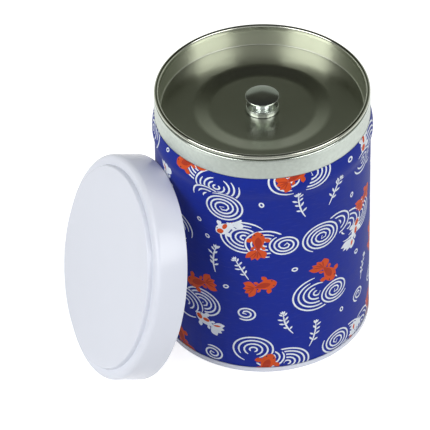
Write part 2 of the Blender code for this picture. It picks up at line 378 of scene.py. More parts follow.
def ringed_metal(
    name, color, roughness, lines_per_mm, depth,
    cloud=0.04, cloud_scale=110.0, mottle=0.07, haze=0.0, brushed=0.0, rolled_above=None,
):
    """Metal with fine rings round the axis, faint clouds in its shine and colour, and a haze from use."""
    material, tree, surface = new_finish(name, color, roughness, 1.0 - haze)
    lines = add_node(tree, "ShaderNodeTexNoise", "rings", Scale=1.0, Detail=4.0, Roughness=0.65)
    tree.links.new(ring_place(tree, lines_per_mm / MM), lines.inputs["Vector"])
    clouds = add_node(tree, "ShaderNodeTexNoise", "clouds", Scale=cloud_scale, Detail=3.0)
    tree.links.new(centred_place(tree), clouds.inputs["Vector"])
    both = add_node(tree, "ShaderNodeMath", operation="ADD")
    tree.links.new(between(tree, lines.outputs["Fac"], -cloud, cloud), both.inputs[0])
    tree.links.new(between(tree, clouds.outputs["Fac"], roughness - cloud, roughness + cloud), both.inputs[1])
    rough = both.outputs[0]
    if rolled_above:
        rough = burnish(tree, rough, rolled_above)
    tree.links.new(rough, surface.inputs["Roughness"])
    darker = tuple((1.0 - mottle) * c for c in color)
    tree.links.new(tint(tree, clouds.outputs["Fac"], darker, color), surface.inputs["Base Color"])
    bump = add_node(tree, "ShaderNodeBump", Strength=1.0, Distance=depth)
    tree.links.new(lines.outputs["Fac"], bump.inputs["Height"])
    tree.links.new(bump.outputs["Normal"], surface.inputs["Normal"])
    if brushed:
        set_values(surface, Anisotropic=brushed, Anisotropic_Rotation=ACROSS_RINGS)
        round_axis = add_node(tree, "ShaderNodeTangent", direction_type="RADIAL", axis="Z")
        tree.links.new(round_axis.outputs["Tangent"], surface.inputs["Tangent"])
    return material


satin_tinplate = ringed_metal(
    "satin tinplate", (0.635, 0.695, 0.635), roughness=0.34, lines_per_mm=3.0, depth=0.005 * MM,
    cloud_scale=700.0, mottle=0.26, rolled_above=tube_high.z - MOUTH_CURL,
)
bright_tinplate = ringed_metal(
    "bright tinplate", (0.56, 0.58, 0.495), roughness=0.28, lines_per_mm=1.6, depth=0.0001 * MM,
    cloud=0.008, brushed=0.3, rolled_above=pan_high.z - RIM_ROLL,
)
polished_chrome = ringed_metal(
    "polished chrome", (0.63, 0.67, 0.64), roughness=0.12, lines_per_mm=2.5, depth=0.0001 * MM,
    cloud=0.01, haze=0.045,
)
zinc_plate = ringed_metal(
    "zinc plate", (0.55, 0.56, 0.58), roughness=0.34, lines_per_mm=4.0, depth=0.003 * MM
)
print("metal finishes:", [m.name for m in (satin_tinplate, bright_tinplate, polished_chrome, zinc_plate)])

# %% [markdown]
# ## White enamel
# The outer lid and the base's lip are sprayed white and baked. Paint pulls into a faint orange peel as it
# dries, which breaks up the edge of each highlight. Two noises make it: broad soft waves and a finer grain.

# %% White enamel
ENAMEL_ROUGHNESS = 0.22
ENAMEL_UNEVEN = 0.03  # how far the waves move the roughness
ENAMEL_GLOSS = 0.45


def sprayed_enamel(name, color):
    """Smooth baked paint with an orange peel."""
    material, tree, surface = new_finish(name, color, ENAMEL_ROUGHNESS, 0.0)
    set_values(surface, Specular_IOR_Level=ENAMEL_GLOSS)
    place = add_node(tree, "ShaderNodeTexCoord")
    peel = add_node(tree, "ShaderNodeTexNoise", "orange peel", Scale=900.0, Detail=2.0)
    waves = add_node(tree, "ShaderNodeTexNoise", "waves", Scale=90.0, Detail=2.0)
    for noise in (peel, waves):
        tree.links.new(place.outputs["Object"], noise.inputs["Vector"])
    uneven = between(
        tree, waves.outputs["Fac"], ENAMEL_ROUGHNESS - ENAMEL_UNEVEN, ENAMEL_ROUGHNESS + ENAMEL_UNEVEN
    )
    tree.links.new(uneven, surface.inputs["Roughness"])
    shaded = tuple(0.985 * c for c in color)
    tree.links.new(tint(tree, waves.outputs["Fac"], shaded, color), surface.inputs["Base Color"])
    fine = add_node(tree, "ShaderNodeBump", Strength=1.0, Distance=0.002 * MM)
    broad = add_node(tree, "ShaderNodeBump", Strength=1.0, Distance=0.006 * MM)
    wire(
        tree,
        (peel.outputs["Fac"], fine.inputs["Height"]),
        (waves.outputs["Fac"], broad.inputs["Height"]),
        (broad.outputs["Normal"], fine.inputs["Normal"]),
        (fine.outputs["Normal"], surface.inputs["Normal"]),
    )
    return material


white_enamel = sprayed_enamel("white enamel", (0.765, 0.795, 0.885))
print("enamel:", white_enamel.name)

# %% [markdown]
# ## Turning sheet metal
# A tin's pieces are all turned shapes, so one way of working makes them all. A circle is added at the size of
# the first ring. Its edge is then extruded to the next height and scaled to the next radius, ring after ring,
# along the middle of the sheet. Solidify gives the sheet its gauge afterwards. This is quicker to steer than
# a spin, and it leaves no seam to merge.

# %% Helpers for profiles, as lists of (radius, height)
def arc(centre, radius, start, turn, steps=BEND_STEPS):
    """Points on an arc, both ends included; angles run from outwards to upwards."""
    angles = [start + turn * step / steps for step in range(steps + 1)]
    return [(centre[0] + radius * math.cos(a), centre[1] + radius * math.sin(a)) for a in angles]


def smooth_step(share):
    return (1 - math.cos(math.pi * share)) / 2


def steel_radius(height):
    """The tube's outer radius: straight wall, bead, then the neck."""
    share = max(0.0, 1 - abs(height - bead_crest) / BEAD_SPAN)
    foot = wall_radius if height < bead_crest else neck_radius
    return foot + (bead_radius - foot) * smooth_step(share)


# %% The helper that turns a profile
def turn_profile(name, profile, sides=SIDES):
    """Extrudes ring after ring round the world's Z axis. A radius of 0 at either end closes it there."""
    starts_at_pole = profile[0][0] == 0
    rings = profile[1:] if starts_at_pole else profile
    radius, height = rings[0]
    cap = "TRIFAN" if starts_at_pole else "NOTHING"
    bpy.ops.object.select_all(action="DESELECT")
    bpy.ops.mesh.primitive_circle_add(vertices=sides, radius=radius, location=(0, 0, height), fill_type=cap)
    piece = bpy.context.object
    piece.name = piece.data.name = name
    bpy.ops.object.mode_set(mode="EDIT")
    bpy.ops.mesh.select_mode(type="EDGE")
    if starts_at_pole:
        bpy.ops.mesh.region_to_loop()
    for next_radius, next_height in rings[1:]:
        bpy.ops.mesh.extrude_edges_move(TRANSFORM_OT_translate={"value": (0, 0, next_height - height)})
        if next_radius == 0:
            bpy.ops.mesh.merge(type="CENTER")
            break
        scale = next_radius / radius
        bpy.ops.transform.resize(value=(scale, scale, 1), center_override=(0, 0, next_height))
        radius, height = next_radius, next_height
    bpy.ops.mesh.select_all(action="SELECT")
    bpy.ops.mesh.normals_make_consistent(inside=False)
    bpy.ops.object.mode_set(mode="OBJECT")
    return piece


# %% Helpers that finish a turned piece
SMOOTH_ANGLE = math.radians(42)


def thicken(piece, thickness=GAUGE, side=0.0):
    """Gives a sheet its thickness: side 0 both ways from its middle, -1 inwards only."""
    gauge = piece.modifiers.new("gauge", "SOLIDIFY")
    gauge.thickness = thickness
    gauge.offset = side
    gauge.use_even_offset = True
    bpy.ops.object.modifier_apply(modifier=gauge.name)
    return piece


def settle(piece, material, place=(*tin_axis, 0.0), lean=0.0):
    """Turns and moves a piece to its place, leaves its object at the origin, and gives it its finish."""
    piece.rotation_euler = (0.0, lean, 0.0)
    piece.location = Vector(place) + Matrix.Rotation(lean, 3, "Y") @ piece.location
    bpy.ops.object.transform_apply(location=True, rotation=True, scale=True)
    bpy.ops.object.shade_smooth_by_angle(angle=SMOOTH_ANGLE)
    piece.data.materials.append(material)
    return piece


def measure(piece):
    """Prints a piece's size and triangles, and whether it is one closed shell with its faces outwards."""
    mesh = piece.data
    mesh.calc_loop_triangles()
    points = np.empty(len(mesh.vertices) * 3, np.float32)
    mesh.vertices.foreach_get("co", points)
    points = points.reshape(-1, 3).astype(float)
    corners = np.empty(len(mesh.loop_triangles) * 3, np.int32)
    mesh.loop_triangles.foreach_get("vertices", corners)
    a, b, c = (points[corners.reshape(-1, 3)[:, k]] for k in range(3))
    volume = float(np.einsum("ij,ij->i", a, np.cross(b, c)).sum() / 6)
    sides = np.empty(len(mesh.loops), np.int32)
    mesh.loops.foreach_get("edge_index", sides)
    loose = int((np.bincount(sides, minlength=len(mesh.edges)) != 2).sum())
    size = (points.max(0) - points.min(0)) / MM
    print(f"{piece.name}: {size.round(2)} mm, {len(mesh.loop_triangles)} triangles,"
          f" {volume * 1e6:.3f} cm3, {loose} open edges")
    return piece


# %% [markdown]
# ## The tube
# The body is a rolled tube. A bead is swaged near its top, where the outer lid comes to rest, and above it
# the neck stays bare. Its mouth is curled inwards, so that no raw edge shows and the inner lid has a smooth
# seat. The profile follows the middle of the sheet, from the lower edge up the wall and round the curl.

# %% Turn the tube
BEAD_STEPS = 24

bead_foot = bead_crest - BEAD_SPAN
bead_line = [bead_foot + 2 * BEAD_SPAN * step / BEAD_STEPS for step in range(BEAD_STEPS + 1)]
curl_mid = (MOUTH_CURL - GAUGE) / 2
curl_centre = (neck_radius - half_gauge - curl_mid, tube_high.z - half_gauge - curl_mid)

tube_profile = [(wall_radius - half_gauge, tube_low.z), (wall_radius - half_gauge, bead_foot / 2)]
tube_profile += [(steel_radius(z) - half_gauge, z) for z in bead_line]
tube_profile += arc(curl_centre, curl_mid, 0.0, ROLL_TURN, ROLL_STEPS)
tube = settle(thicken(turn_profile("steel_tube", tube_profile)), satin_tinplate)
measure(tube)

# %% [markdown]
# ## The base end
# The bottom is stamped from enamelled sheet: a flat panel set up from the table, a rounded foot that the tin
# stands on, and a lip that comes up round the tube and shows as a thin white line under the paper.

# %% Turn the base end
FOOT_BEND = 0.45 * MM
PANEL_DROP = 0.4 * MM  # from the lip's edge down to the panel's underside

lip_middle = (base_high.x - base_low.x) / 2 - half_gauge
leg_middle = wall_radius - GAUGE - SEAT_GAP - half_gauge
panel_height = base_high.z - PANEL_DROP + half_gauge

base_profile = [(0.0, panel_height), (leg_middle / 2, panel_height)]
base_profile += arc((leg_middle - FOOT_BEND, panel_height - FOOT_BEND), FOOT_BEND, math.pi / 2, -math.pi / 2)
base_profile += arc((leg_middle + FOOT_BEND, half_gauge + FOOT_BEND), FOOT_BEND, math.pi, math.pi / 2)
base_profile += arc((lip_middle - FOOT_BEND, half_gauge + FOOT_BEND), FOOT_BEND, -math.pi / 2, math.pi / 2)
base_profile += [(lip_middle, base_high.z)]
base = settle(thicken(turn_profile("base_end", base_profile)), white_enamel)
measure(base)

# %% [markdown]
# ## The inner lid's pan
# One disc of bright tinplate is drawn into a pan: a sunk middle under the knob, a slope, a flat ledge, a wall
# that slides in the mouth, and a rim rolled outwards that sits on the mouth's curl. The slope meets its flats
# in soft bends, because a press can't leave a sharp one.

# %% Turn the pan
SHANK_HOLE = 1.7 * MM
PAN_DEPTH = 8.7 * MM
PAN_DRAFT = 0.5 * MM
PAN_CORNER = 0.6 * MM
LEDGE_WIDTH = 12.9 * MM
SLOPE_WIDTH = 6.0 * MM
SUNK_DEPTH = 0.85 * MM
MOUTH_FIT = 0.3 * MM
SLOPE_BEND = 0.9 * MM  # how far each soft bend reaches along the slope

pan_wall = neck_radius - MOUTH_CURL - MOUTH_FIT - half_gauge
pan_floor = pan_wall - PAN_DRAFT
ledge = pan_high.z - PAN_DEPTH - half_gauge
sunk = ledge - SUNK_DEPTH
slope_top = pan_floor - LEDGE_WIDTH
slope_foot = slope_top - SLOPE_WIDTH


def pan_height(radius):
    """The pan's floor: sunk disc, straight slope and ledge, with the corners rounded off."""
    heights = []
    for step in (-1, -0.5, 0, 0.5, 1):
        share = (radius + step * SLOPE_BEND - slope_foot) / SLOPE_WIDTH
        heights.append(sunk + SUNK_DEPTH * min(1.0, max(0.0, share)))
    return sum(heights) / len(heights)


FLOOR_RINGS = 28
first_slope, last_slope = slope_foot - SLOPE_BEND, slope_top + SLOPE_BEND
slope_radii = [first_slope + (last_slope - first_slope) * k / FLOOR_RINGS for k in range(FLOOR_RINGS + 1)]
rim_mid = (RIM_ROLL - GAUGE) / 2
rim_centre = (pan_wall + rim_mid, pan_high.z - half_gauge - rim_mid)

pan_profile = [(SHANK_HOLE, sunk), (slope_foot / 2, sunk)] + [(r, pan_height(r)) for r in slope_radii]
pan_profile += arc((pan_floor - PAN_CORNER, ledge + PAN_CORNER), PAN_CORNER, -math.pi / 2, math.pi / 2)
pan_profile += arc(rim_centre, rim_mid, math.pi, -ROLL_TURN, ROLL_STEPS)
pan = settle(thicken(turn_profile("pan", pan_profile)), bright_tinplate)
measure(pan)

# %% [markdown]
# ## The knob
# The knob is a spool, turned from bar and polished: a head with a faintly domed top, a waist that fingers
# close round, and a foot. It is solid, so its profile runs right round and closes at both poles: over the
# head, down the waist, under the foot and up the bore. The dome lays a crescent of light on the far side.

# %% Turn the knob
KNOB_SIDES = 96
KNOB_HEAD = 1.0 * MM
KNOB_FOOT = 1.7 * MM
FOOT_EDGE = 0.15 * MM
FOOT_DRAFT = 0.3 * MM  # how much narrower the foot is at its top
WAIST_FILLET = 0.3 * MM
KNOB_WAIST = 3.4 * MM
KNOB_DOME = 0.45 * MM
KNOB_EDGE = 0.14 * MM
BORE_CAP = 2.4 * MM
COVE_POWER = 5  # the higher, the tighter the cove turns out under the head
DOME_POWER = 3  # the higher, the flatter the dome's middle
COVE_STEPS = 20
DOME_STEPS = 10

head_flat = knob_radius - KNOB_EDGE
head_edge = knob_high.z - KNOB_DOME
head_under = knob_high.z - KNOB_HEAD
foot_top = knob_low.z + KNOB_FOOT
cove_depth = head_flat - KNOB_WAIST
cove_foot = foot_top + WAIST_FILLET

knob_profile = []
for step in range(DOME_STEPS + 1):
    share = step / DOME_STEPS
    knob_profile.append((head_flat * share, knob_high.z - KNOB_DOME * share**DOME_POWER))
knob_profile += arc((head_flat, head_edge - KNOB_EDGE), KNOB_EDGE, math.pi / 2, -math.pi / 2)[1:]
knob_profile += arc((head_flat, head_under + KNOB_EDGE), KNOB_EDGE, 0.0, -math.pi / 2)
for step in range(1, COVE_STEPS):
    share = 1 - step / COVE_STEPS
    cove_radius = KNOB_WAIST + cove_depth * share**COVE_POWER
    knob_profile.append((cove_radius, cove_foot + (head_under - cove_foot) * share))
knob_profile += arc((KNOB_WAIST + WAIST_FILLET, cove_foot), WAIST_FILLET, math.pi, math.pi / 2)
foot_edge_centre = (knob_radius - FOOT_DRAFT - FOOT_EDGE, foot_top - FOOT_EDGE)
knob_profile += arc(foot_edge_centre, FOOT_EDGE, math.pi / 2, -math.atan(KNOB_FOOT / FOOT_DRAFT))
knob_profile += [(knob_radius, knob_low.z + FOOT_EDGE)]
knob_profile += [(knob_radius, knob_low.z), (SHANK_HOLE, knob_low.z), (SHANK_HOLE, knob_high.z - BORE_CAP)]
knob_profile += [(0.0, knob_high.z - BORE_CAP)]
knob = settle(turn_profile("spool_knob", knob_profile, KNOB_SIDES), polished_chrome)
measure(knob)

# %% [markdown]
# ## The outer lid
# The lid is a deep cap: a skirt hemmed inwards at its mouth, a round shoulder, a narrow ring, and a raised
# face. It is turned upright with its mouth at the origin and then leant over. Its place is read from the
# fixed model: the middle of its box goes where the middle of the node's box is.

# %% Turn the outer lid and lean it
LID_DEPTH = 12.75 * MM
LID_SHOULDER = 2.0 * MM
SHOULDER_RING = 2.2 * MM
FACE_RISE = 1.8 * MM
FACE_SLOPE = 0.3 * MM
FACE_CORNER = 0.5 * MM
FOOT_FILLET = 0.22 * MM
FACE_DISH = 0.12 * MM  # the face sinks this much towards its middle
FACE_RINGS = 6
LEAN = math.radians(16.9)

ring_height = LID_DEPTH - half_gauge
face_height = ring_height + FACE_RISE
face_foot = lid_radius - LID_SHOULDER - SHOULDER_RING
face_edge = face_foot - FACE_SLOPE - FACE_CORNER
hem_mid = (HEM_ROLL - GAUGE) / 2

lid_profile = []
for step in range(FACE_RINGS + 1):
    share = step / FACE_RINGS
    lid_profile.append((face_edge * share, face_height - FACE_DISH * (1 - share**2) ** 2))
lid_profile += arc((face_edge, face_height - FACE_CORNER), FACE_CORNER, math.pi / 2, -math.pi / 2)[1:]
fillet_centre = (face_foot + FOOT_FILLET, ring_height + FOOT_FILLET)
lid_profile += arc(fillet_centre, FOOT_FILLET, math.pi, math.pi / 2)
shoulder_centre = (lid_radius - LID_SHOULDER, LID_DEPTH - LID_SHOULDER)
lid_profile += arc(shoulder_centre, LID_SHOULDER - half_gauge, math.pi / 2, -math.pi / 2)
hem_centre = (lid_radius - half_gauge - hem_mid, half_gauge + hem_mid)
lid_profile += arc(hem_centre, hem_mid, 0.0, -ROLL_TURN, ROLL_STEPS)
lid = settle(thicken(turn_profile("leaning_lid", lid_profile)), white_enamel, (0, 0, 0), LEAN - math.pi / 2)

lid_points = [Vector(corner) for corner in lid.bound_box]
lid_middle = (Vector(map(min, *lid_points)) + Vector(map(max, *lid_points))) / 2
lid.location = (lid_low + lid_high) / 2 - lid_middle
bpy.ops.object.transform_apply(location=True)
measure(lid)

# %% [markdown]
# ## The printed paper
# The paper is a long strip that goes once round the tube and laps over its own start at the back. It is
# screen printed: white, vermilion and a deeper red on a blue ground. The print here is this lesson's own, of
# motifs that such papers have used for centuries: goldfish seen from above, rings on water, weed and bubbles.
# Each motif is an outline drawn by a small function, in millimetres on the flat strip. The strip is then cut
# along every outline, as with a knife, so each ink has faces of its own. That keeps every edge crisp at any
# distance and leaves the paper one smooth sheet.

# %% Inks
INKS = {
    "ground": (0.003, 0.019, 0.290),
    "white": (0.82, 0.87, 0.92),
    "vermilion": (0.68, 0.082, 0.012),
    "deep red": (0.44, 0.038, 0.010),
    "eye": (0.018, 0.014, 0.040),
}
outlines = []  # (ink, points), in the order of printing


def turned(points, place, turn, size=1.0):
    """Turns and scales points round their origin, and moves that to a place."""
    c, s = size * math.cos(turn), size * math.sin(turn)
    return [(place[0] + c * x - s * y, place[1] + s * x + c * y) for x, y in points]


def lay(ink, points, place, turn=0.0, size=1.0):
    """Prints an outline at a place on the strip."""
    outlines.append((ink, turned(points, place, turn, size)))


# %% Shapes that the motifs are drawn with
def leaf(root, heading, length, width, belly=0.5, steps=9):
    """A pointed leaf from its root; belly says where along it is widest."""
    power = math.log(0.5) / math.log(belly)
    edge = []
    for step in range(steps + 1):
        share = step / steps
        edge.append((length * share, width / 2 * math.sin(math.pi * share**power)))
    other_edge = [(x, -y) for x, y in edge[-2:0:-1]]
    return turned(edge + other_edge, root, heading)


def oval(centre, half_length, half_width, heading=0.0, steps=16):
    """An oval, counted anticlockwise from its point."""
    angles = [math.tau * step / steps for step in range(steps)]
    points = [(half_length * math.cos(a), half_width * math.sin(a)) for a in angles]
    return turned(points, centre, heading)


BRUSH_TIP = 0.45  # a stroke's width at its very ends, as a share of its full width


def brush_line(path, width, taper=0.18):
    """The outline of a brush stroke along a path: full in the middle, thinning at its ends."""
    left, right_side = [], []
    last = len(path) - 1
    for index, (x, y) in enumerate(path):
        before, after = path[max(index - 1, 0)], path[min(index + 1, last)]
        length = math.dist(before, after)
        normal = ((before[1] - after[1]) / length, (after[0] - before[0]) / length)
        share = min(index, last - index) / last
        half = width / 2 * min(1.0, BRUSH_TIP + (1 - BRUSH_TIP) * share / taper)
        left.append((x + half * normal[0], y + half * normal[1]))
        right_side.append((x - half * normal[0], y - half * normal[1]))
    return left + right_side[::-1]


# %% A goldfish from above
def swing(points, amount):
    """Bends what lies behind the head to one side."""
    return [(x, y + amount * min(0.0, x - 1.0) ** 2) for x, y in points]


def goldfish(place, turn, size, bend, white):
    """Body, fins and a four-lobed tail in one ink, then its markings. It heads along +x, 14 mm long."""
    main = "white" if white else "vermilion"
    body = leaf((6.0, 0.0), math.pi, 9.8, 5.0, belly=0.36, steps=18)
    parts = [(main, body)]
    for side in (1, -1):
        parts += [
            (main, leaf((2.9, side * 1.5), side * math.radians(122), 3.6, 2.1, belly=0.62)),
            (main, leaf((-0.9, side * 1.0), side * math.radians(140), 2.6, 1.4, belly=0.6)),
            (main, leaf((-2.4, side * 0.4), math.pi - side * math.radians(36), 5.6, 3.0, belly=0.58)),
            (main, leaf((-2.6, side * 0.2), math.pi - side * math.radians(10), 5.4, 2.2, belly=0.62)),
        ]
    if white:
        parts += [
            ("vermilion", oval((4.0, 0.35), 1.55, 1.2, math.radians(-12))),
            ("vermilion", oval((0.7, -0.7), 1.6, 0.9, math.radians(24))),
            ("vermilion", leaf((-3.0, -0.5), math.pi + math.radians(34), 3.4, 1.1)),
        ]
    else:
        parts += [("deep red", leaf((3.4, 0.0), math.pi, 6.8, 2.6, belly=0.4, steps=12))]
        for spread in (-36, -11, 11, 36):
            ray = math.pi + math.radians(spread)
            parts.append(("deep red", leaf((-3.3, 0.0), ray, 4.0, 0.5)))
    for side in (1, -1):
        parts.append(("eye", oval((4.3, side * 1.35), 0.36, 0.28, steps=8)))
    for ink, points in parts:
        lay(ink, swing(points, bend), place, turn, size)


# %% Rings on water, weed and bubbles
RING_LINE = 0.70
RING_STEP = 1.72
RING_FLATNESS = 0.80
RING_STRETCH = 1.12
RING_CHORD = 1.25  # how long the straight pieces of a stroke are
INNERMOST = 0.7  # the first ring's radius, in steps between rings
CLEAR_STEPS = 24
CLEAR_MARGIN = 0.7


def ring_path(angles_and_radii):
    """A path round the middle of a set of rings, which is wider than it is high."""
    wide, high = RING_STRETCH, RING_STRETCH * RING_FLATNESS
    return [(wide * r * math.cos(a), high * r * math.sin(a)) for a, r in angles_and_radii]


def clear_ground(place, reach):
    """Covers what was printed before, so that a new set of rings lies in front of it."""
    edge = [(math.tau * step / CLEAR_STEPS, reach + CLEAR_MARGIN) for step in range(CLEAR_STEPS)]
    lay("ground", ring_path(edge), place)


def rings_on_water(place, reach, opening, pick):
    """Open rings one inside the other, each a brush stroke that starts a little further round."""
    count = max(2, round(reach / RING_STEP))
    clear_ground(place, reach)
    for ring in range(count):
        radius = reach * (ring + INNERMOST) / (count - 1 + INNERMOST)
        start = opening + pick.uniform(-0.5, 0.5)
        sweep = math.tau - pick.uniform(0.6, 2.0)
        steps = max(10, round(sweep * radius / RING_CHORD))
        stroke = [(start + sweep * k / steps, radius * (0.97 + 0.06 * k / steps)) for k in range(steps + 1)]
        lay("white", brush_line(ring_path(stroke), RING_LINE, 0.08), place)


def whirl(place, reach, opening, pick):
    """One long stroke that winds out from the middle."""
    turns = reach / RING_STEP
    steps = round(10 * turns + 1.2 * reach * turns)
    hand = pick.choice((-1, 1))
    clear_ground(place, reach)
    winding = []
    for step in range(steps + 1):
        share = math.sqrt(step / steps)
        winding.append((opening + hand * math.tau * turns * share, 0.5 + (reach - 0.5) * share))
    lay("white", brush_line(ring_path(winding), RING_LINE, 0.04), place)


def weed(place, turn, size, pick):
    """A bent stem with pairs of short leaves and a fork at its tip."""
    bend = pick.uniform(-0.04, 0.04)
    stem = [(bend * y * y, y) for y in np.linspace(-6.2, 4.6, 9)]
    lay("white", brush_line(stem, 0.62, 0.3), place, turn, size)
    for y in (-3.4, -1.0, 1.4, 3.4):
        for side in (1, -1):
            heading = math.pi / 2 - side * math.radians(pick.uniform(38, 64))
            root = (bend * y * y, y + pick.uniform(-0.5, 0.5))
            length = pick.uniform(1.9, 2.8)
            lay("white", leaf(root, heading, length, 0.75, belly=0.6, steps=6), place, turn, size)
    tip = (bend * 4.3 * 4.3, 4.3)
    for lean in (-34, 0, 34):
        lay("white", leaf(tip, math.pi / 2 + math.radians(lean), 1.7, 0.75, steps=6), place, turn, size)


def bubble(place, size, pick):
    """A small white ring."""
    tilt = pick.uniform(0, math.pi)
    lay("white", oval((0, 0), 1.3, 1.05, tilt, 14), place, 0.0, size)
    lay("ground", oval((0, 0), 0.7, 0.46, tilt, 10), place, 0.0, size)


# %% [markdown]
# Motifs that repeat in rows look like wallpaper, and motifs that are strewn evenly look like confetti. Here
# the rings gather in pools, where one set of rings covers part of the next, and fish cross them. Whatever is
# laid picks the best of many random places: the one that leaves it the most room. The print runs on over the
# lap, which cuts it off. The random numbers are seeded, so the print is the same every time.

# %% Lay the motifs out on the flat strip, in millimetres
STRIP_LAP = 8.0
SEED = 8
TRIES = 120
POOLS = 22
SETS_IN_POOL = (2, 3, 3, 4)
POOL_REACH = 10.0
FIRST_REACH = (7.6, 9.2)
NEXT_REACH = (5.2, 8.2)
RING_SPREAD = 0.58  # how far apart the sets of a pool lie, as a share of their two reaches together
FISH_REACH = 5.6
FISH_FROM_POOL = (6.0, 10.0)
FISH_BEND = (-0.05, 0.05)
SINGLE_FISH = 14
SMALL_WHIRLS = 6
SMALL_REACH = (3.2, 4.6)
WEEDS = 20
WEED_REACH = 5.0
BUBBLES = 24
BUBBLE_REACH = 1.7

strip_height = (paper_high.z - paper_foot) / MM
strip_round = math.tau * (wall_radius + PAPER_OUTSIDE) / MM
strip_length = strip_round + STRIP_LAP
pick = random.Random(SEED)
taken = []  # (place along, place up, reach, kind)


def find_room(kind, reach, ignored=(), near=None, spread=0.0):
    """The roomiest of many places: anywhere on the strip, or round a given place, where it may run off."""
    best, best_room = None, -math.inf
    for _ in range(TRIES):
        if near:
            way = pick.uniform(0, math.tau)
            along, high = near[0] + spread * math.cos(way), near[1] + spread * math.sin(way)
        else:
            along, high = pick.uniform(0, strip_length), pick.uniform(0, strip_height)
        past_edge = min(0.0, high, strip_height - high)
        room = math.inf if past_edge == 0.0 else past_edge - reach
        for other_along, other_high, other_reach, other_kind in taken:
            if other_kind not in ignored:
                gap = math.hypot(along - other_along, high - other_high)
                room = min(room, gap - reach - other_reach)
        if room > best_room:
            best, best_room = (along, high), room
    taken.append((*best, reach, kind))
    return best


def lay_pool(number):
    """Two to four sets of rings that overlap, and one or two fish across them."""
    first = middle = find_room("pool", POOL_REACH)
    reach = pick.uniform(*FIRST_REACH)
    for ring_set in range(pick.choice(SETS_IN_POOL)):
        draw = whirl if (number + ring_set) % 3 == 0 else rings_on_water
        draw(middle, reach, pick.uniform(0, math.tau), pick)
        taken.append((*middle, reach, "rings"))
        next_reach = pick.uniform(*NEXT_REACH)
        middle = find_room("rings", 0.0, ("pool", "fish"), middle, RING_SPREAD * (reach + next_reach))
        taken.pop()  # the next set is noted with its own reach, once it is drawn
        reach = next_reach
    for fish in range(1 + number % 2):
        place = find_room("fish", FISH_REACH, ("pool", "rings"), first, pick.uniform(*FISH_FROM_POOL))
        turn, size, bend = pick.uniform(0, math.tau), pick.uniform(0.92, 1.12), pick.uniform(*FISH_BEND)
        goldfish(place, turn, size, bend, white=(number + fish) % 3 == 1)


for number in range(POOLS):
    lay_pool(number)
for number in range(SINGLE_FISH):
    place = find_room("fish", FISH_REACH, ("pool",))
    turn, size, bend = pick.uniform(0, math.tau), pick.uniform(0.9, 1.1), pick.uniform(*FISH_BEND)
    goldfish(place, turn, size, bend, white=number % 3 == 0)
for _ in range(SMALL_WHIRLS):
    reach = pick.uniform(*SMALL_REACH)
    whirl(find_room("rings", reach, ("pool",)), reach, pick.uniform(0, math.tau), pick)
for _ in range(WEEDS):
    place = find_room("weed", WEED_REACH, ("pool",))
    weed(place, pick.uniform(-0.6, 0.6), pick.uniform(0.95, 1.2), pick)
for _ in range(BUBBLES):
    bubble(find_room("bubble", BUBBLE_REACH, ("pool",)), pick.uniform(0.8, 1.1), pick)
print(len(outlines), "outlines on a strip of", round(strip_length), "x", round(strip_height), "mm")

# %% [markdown]
# A knife that cuts along every outline at once is called a constrained triangulation: it fills the strip
# with triangles whose edges follow all the lines it is given. Upright fold lines go in too, so that the strip
# can be rolled, and level ones where it bends over the bead. Each triangle says which outlines it lies in,
# and the last of them is the ink on top.

# %% Cut the strip
FOLDS = 108  # round the tube
WALL_ROW = 30.0
BEAD_ROW = 1.2
SMALLEST = 1e-5

fold_step = strip_round / FOLDS
points, lines, shapes = [], [], []


def cut_shape(outline):
    """Adds an outline, turned to run anticlockwise, which is how the knife tells its inside."""
    following = outline[1:] + outline[:1]
    area = sum(a[0] * b[1] - b[0] * a[1] for a, b in zip(outline, following))
    shapes.append(list(range(len(points), len(points) + len(outline))))
    points.extend(outline if area > 0 else outline[::-1])


def cut_line(start, end):
    """Adds a straight cut from one edge of the strip to the other."""
    lines.append((len(points), len(points) + 1))
    points.extend((start, end))


cut_shape([(0, 0), (strip_length, 0), (strip_length, strip_height), (0, strip_height)])
for _, outline in outlines:
    cut_shape(outline)
for fold in range(1, int(strip_length / fold_step) + 1):
    cut_line((fold * fold_step, 0), (fold * fold_step, strip_height))
bead_start = (bead_foot - paper_foot) / MM
for row in range(1, int(bead_start / WALL_ROW) + 1):
    cut_line((0, row * WALL_ROW), (strip_length, row * WALL_ROW))
bead_rows = round((strip_height - bead_start) / BEAD_ROW)
for row in range(bead_rows):
    height = bead_start + (strip_height - bead_start) * row / bead_rows
    cut_line((0, height), (strip_length, height))

flat_points, _, flat_faces, _, _, inside = delaunay_2d_cdt(
    [Vector(p) for p in points], lines, shapes, 0, SMALLEST, True
)
kept = [k for k, shapes_here in enumerate(inside) if 0 in shapes_here]
inks = [max(inside[k]) for k in kept]
print(len(kept), "faces cut")

# %% Roll the strip round the tube
STRIP_START = math.radians(62)  # at the back, seen from the camera
LAP_RAMP = 10.0  # millimetres of strip over which the paper climbs onto its own start
LAP_GAP = 0.02 * MM
GLUE_GAP = 0.03 * MM
EDGE_PRESSED = 2.4 * MM  # how far from its edges the paper is pressed down to the steel
MAP_UNIT = 100  # millimetres of the strip in one unit of its map

